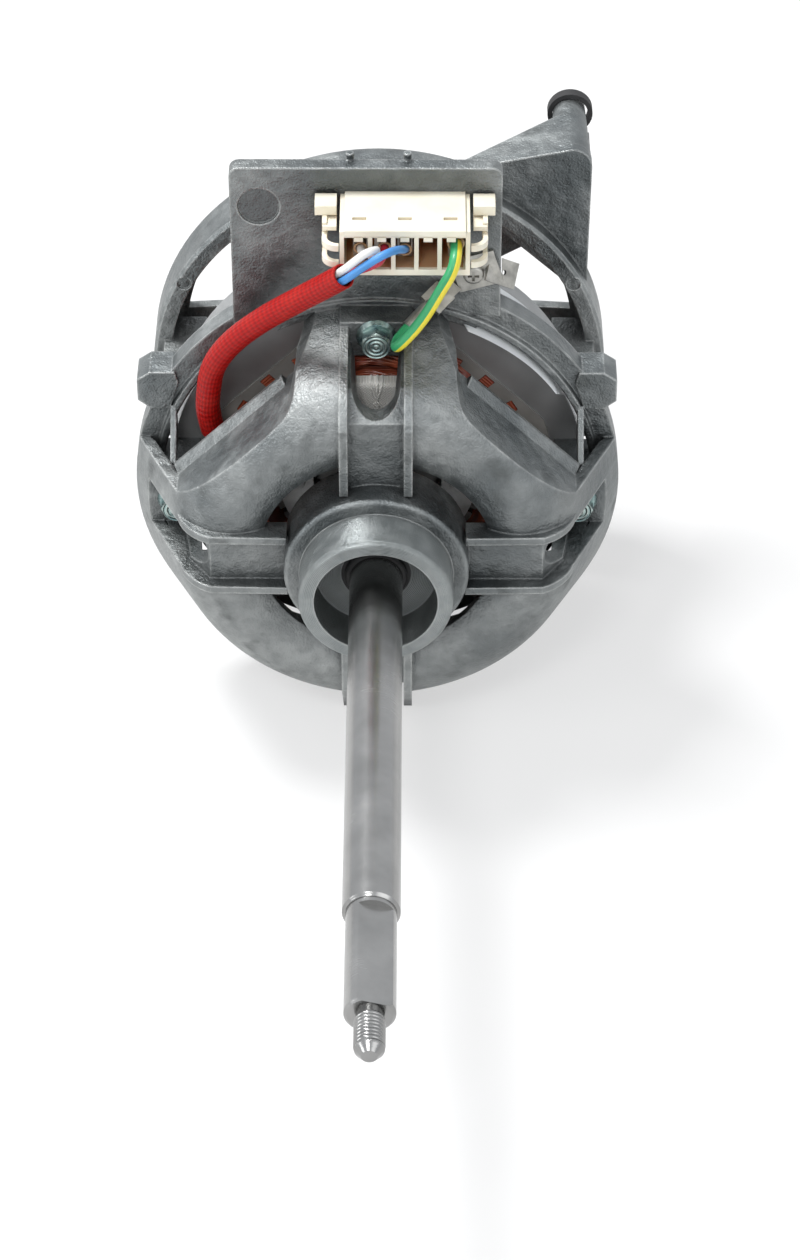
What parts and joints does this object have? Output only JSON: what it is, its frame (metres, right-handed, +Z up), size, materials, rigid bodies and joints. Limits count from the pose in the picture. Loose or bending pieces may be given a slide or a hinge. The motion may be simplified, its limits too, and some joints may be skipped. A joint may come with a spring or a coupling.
{
  "type": "dryer motor",
  "caption": "Tumble dryer motor with two die-cast end shields, open stator and winding, long output shaft with a D end, connector plate and belt pulley.",
  "frame": {"origin": "on the shaft axis, in the front face of the locating spigot of the front end shield", "axes": "+Y along the shaft axis, away from the long output shaft; +Z up, towards the connector plate; +X to the right seen from the output shaft"},
  "size_m": [0.15, 0.369, 0.1937],
  "materials": {
    "die_cast": "satin",
    "lamination_steel": "matte",
    "ground_steel": "satin",
    "rotor_steel": "satin",
    "cage_aluminium": "matte",
    "bearing_steel": "polished",
    "zinc_bolt": "satin",
    "tinned_steel": "satin",
    "spring_steel": "satin",
    "black_rubber": "matte",
    "varnished_winding": "gloss",
    "slot_fibre": "matte",
    "white_sleeve": "matte",
    "pale_label": "matte",
    "cream_nylon": "matte",
    "red_braid": "matte",
    "white_insulation": "satin",
    "red_insulation": "satin",
    "blue_insulation": "satin",
    "green_yellow_insulation": "satin"
  },
  "bodies": {
    "housing": {"front_end_shield": "die_cast", "rear_end_shield": "die_cast", "arm_ring": "black_rubber", "stator_stack": "lamination_steel", "stator_end_plates": "slot_fibre", "stator_winding": "varnished_winding", "front_end_turns": "varnished_winding", "rear_end_turns": "varnished_winding", "thermal_cutout": "white_sleeve", "stator_label": "pale_label", "through_bolts": "zinc_bolt", "front_bearing_outer_ring": "bearing_steel", "front_bearing_seals": "black_rubber", "rear_bearing_outer_ring": "bearing_steel", "rear_bearing_seals": "black_rubber", "front_shaft_seal": "black_rubber", "wave_spring": "spring_steel", "connector_housing": "cream_nylon", "connector_terminals": "tinned_steel", "white_lead": "white_insulation", "red_lead": "red_insulation", "blue_lead": "blue_insulation", "lead_sleeve": "red_braid", "earth_lead": "green_yellow_insulation", "earth_bracket": "tinned_steel", "earth_receptacle": "tinned_steel", "earth_screw": "tinned_steel"},
    "rotor": {"shaft": "ground_steel", "rotor_core": "rotor_steel", "rotor_cage": "cage_aluminium", "front_bearing_inner_ring": "bearing_steel", "rear_bearing_inner_ring": "bearing_steel", "rear_retaining_ring": "spring_steel", "pulley_retaining_ring": "spring_steel", "belt_pulley": "ground_steel"},
    "latch_left": {"connector_latch_left": "cream_nylon"},
    "latch_right": {"connector_latch_right": "cream_nylon"}
  },
  "joints": [
    {"name": "rotor_spin", "type": "hinge", "parent": "housing", "child": "rotor", "pos_m": [0, 0, 0], "axis": [0, 1, 0], "continuous": true},
    {"name": "latch_left_press", "type": "hinge", "parent": "housing", "child": "latch_left", "pos_m": [-0.0107, 0.0413, 0.1], "axis": [0, 0, -1], "range_deg": [0, 3], "stiffness_Nm_per_rad": 1.5},
    {"name": "latch_right_press", "type": "hinge", "parent": "housing", "child": "latch_right", "pos_m": [0.0277, 0.0413, 0.1], "axis": [0, 0, 1], "range_deg": [0, 3], "stiffness_Nm_per_rad": 1.5}
  ]
}
